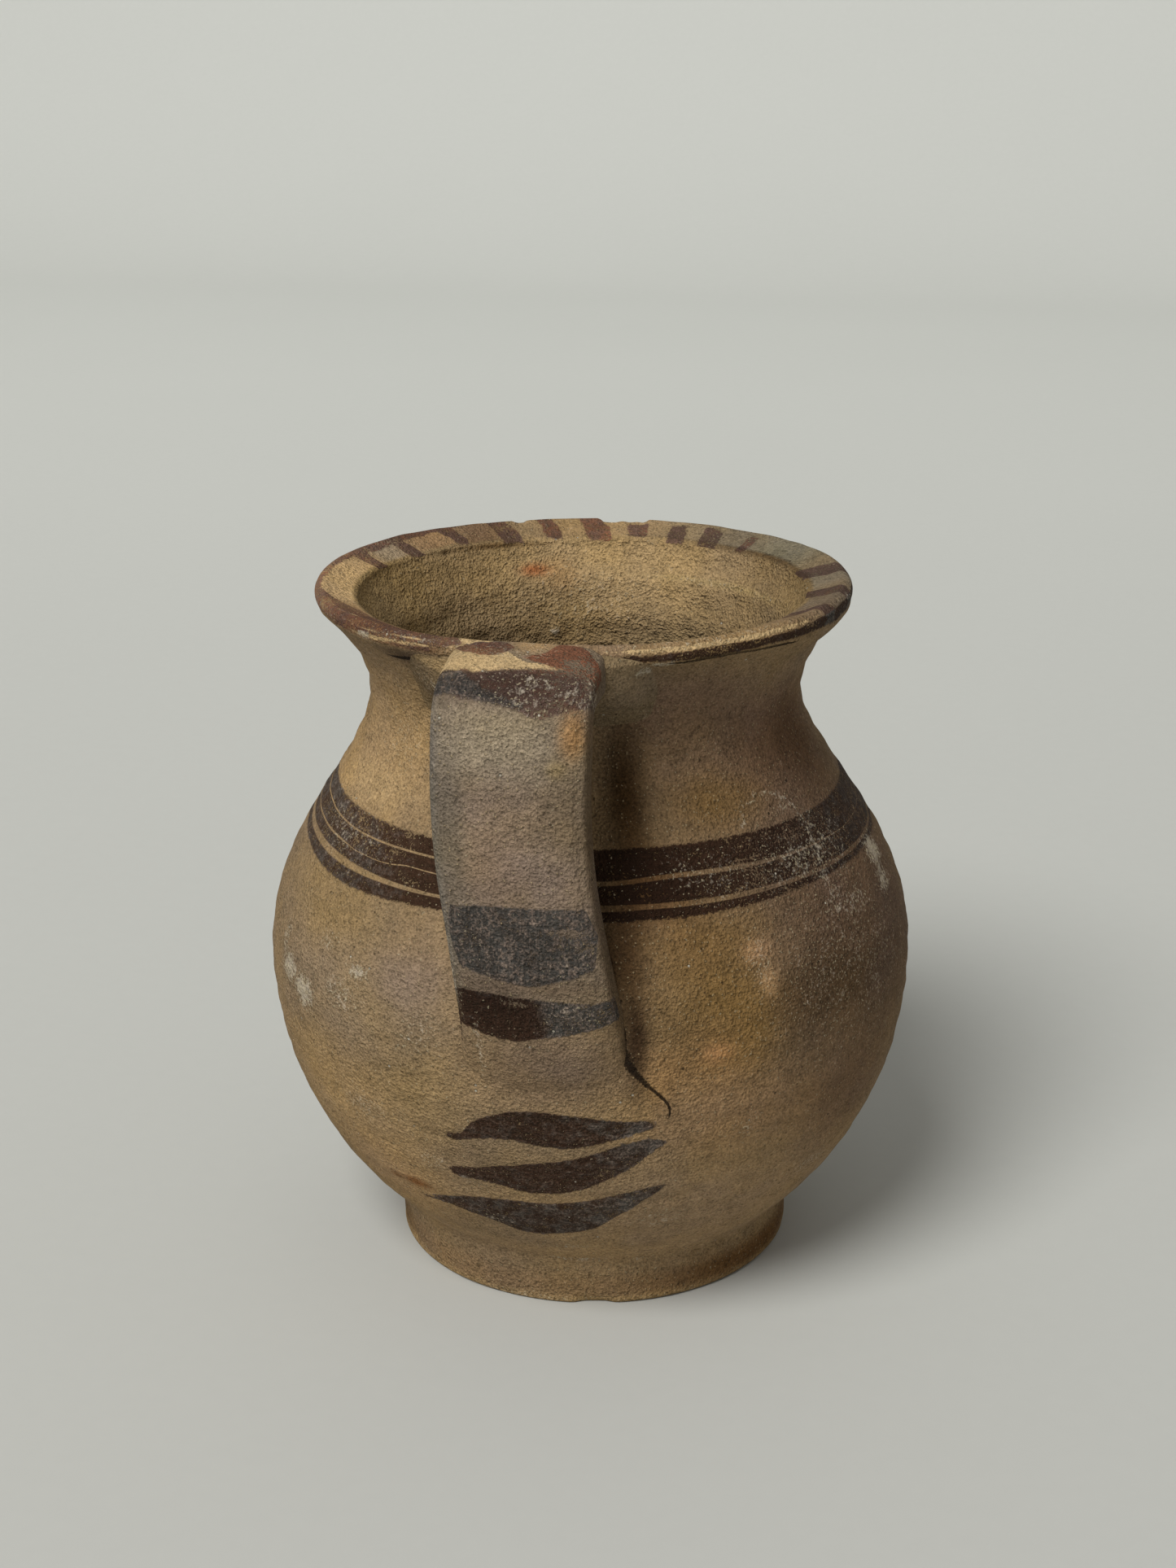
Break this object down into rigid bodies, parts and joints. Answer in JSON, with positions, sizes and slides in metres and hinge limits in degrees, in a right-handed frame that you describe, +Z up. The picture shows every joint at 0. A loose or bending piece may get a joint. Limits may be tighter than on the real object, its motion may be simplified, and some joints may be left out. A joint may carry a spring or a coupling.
{
  "type": "jug",
  "caption": "Small round-bellied clay jug with a flared mouth, a foot ring and a strap handle from lip to belly, painted with dark bands and leaf strokes.",
  "frame": {"origin": "middle of the jug's box in X and Y, on the surface that the foot ring rests on", "axes": "+Z up through the mouth; the handle stands on the -Y side; the lip leans slightly towards -X"},
  "size_m": [0.1168, 0.121, 0.125],
  "materials": {
    "buff_clay": "unglazed fired clay, sandy, with dark matt paint bands",
    "foot_clay": "unglazed fired clay, sandy and worn",
    "grey_clay": "unglazed fired clay, grey-brown, with dark matt paint strokes",
    "lute_clay": "unglazed smeared clay"
  },
  "bodies": {
    "root": {"vessel_body": "buff_clay", "foot_ring": "foot_clay", "strap_handle": "grey_clay", "rim_lute": "lute_clay", "belly_lute": "lute_clay"}
  },
  "joints": []
}
